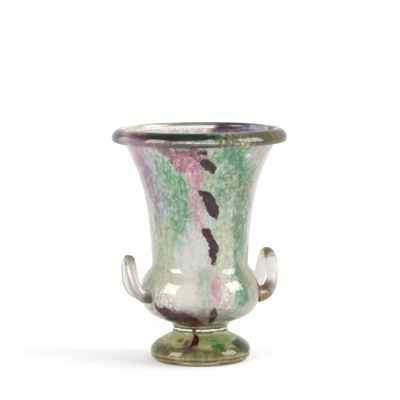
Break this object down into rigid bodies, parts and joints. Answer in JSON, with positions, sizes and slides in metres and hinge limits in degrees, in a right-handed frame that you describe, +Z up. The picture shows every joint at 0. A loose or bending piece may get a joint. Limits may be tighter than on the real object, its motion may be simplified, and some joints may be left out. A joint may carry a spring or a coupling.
{
  "type": "footed glass vase",
  "caption": "Bell-mouthed glass vase on a spreading foot, with a rolled lip and small looped handles low on its rounded belly, for cut flowers or display.",
  "frame": {"origin": "middle of the foot's ground ring, on the plane it stands on", "axes": "+Z up along the vase's axis, +X towards the right handle, the pictured front about 20 degrees round from -Y towards -X"},
  "size_m": [0.124, 0.124, 0.1651],
  "materials": {
    "casing_glass": "gloss, crackled",
    "colour_glass": "gloss, mottled green, rose and lavender",
    "dark_glass": "gloss",
    "lip_glass": "gloss",
    "foot_clear_glass": "gloss",
    "foot_colour_glass": "gloss, mottled green and amber",
    "handle_glass": "gloss"
  },
  "bodies": {
    "root": {"bowl_casing": "casing_glass", "bowl_colour_layer": "colour_glass", "rolled_lip": "lip_glass", "foot_casing": "foot_clear_glass", "foot_colour_core": "foot_colour_glass", "handle_right": "handle_glass", "handle_left": "handle_glass", "shard_under_lip": "dark_glass", "shard_upper": "dark_glass", "shard_middle": "dark_glass", "shard_long": "dark_glass", "shard_belly": "dark_glass", "shard_low": "dark_glass", "shard_stem": "dark_glass"}
  },
  "joints": []
}
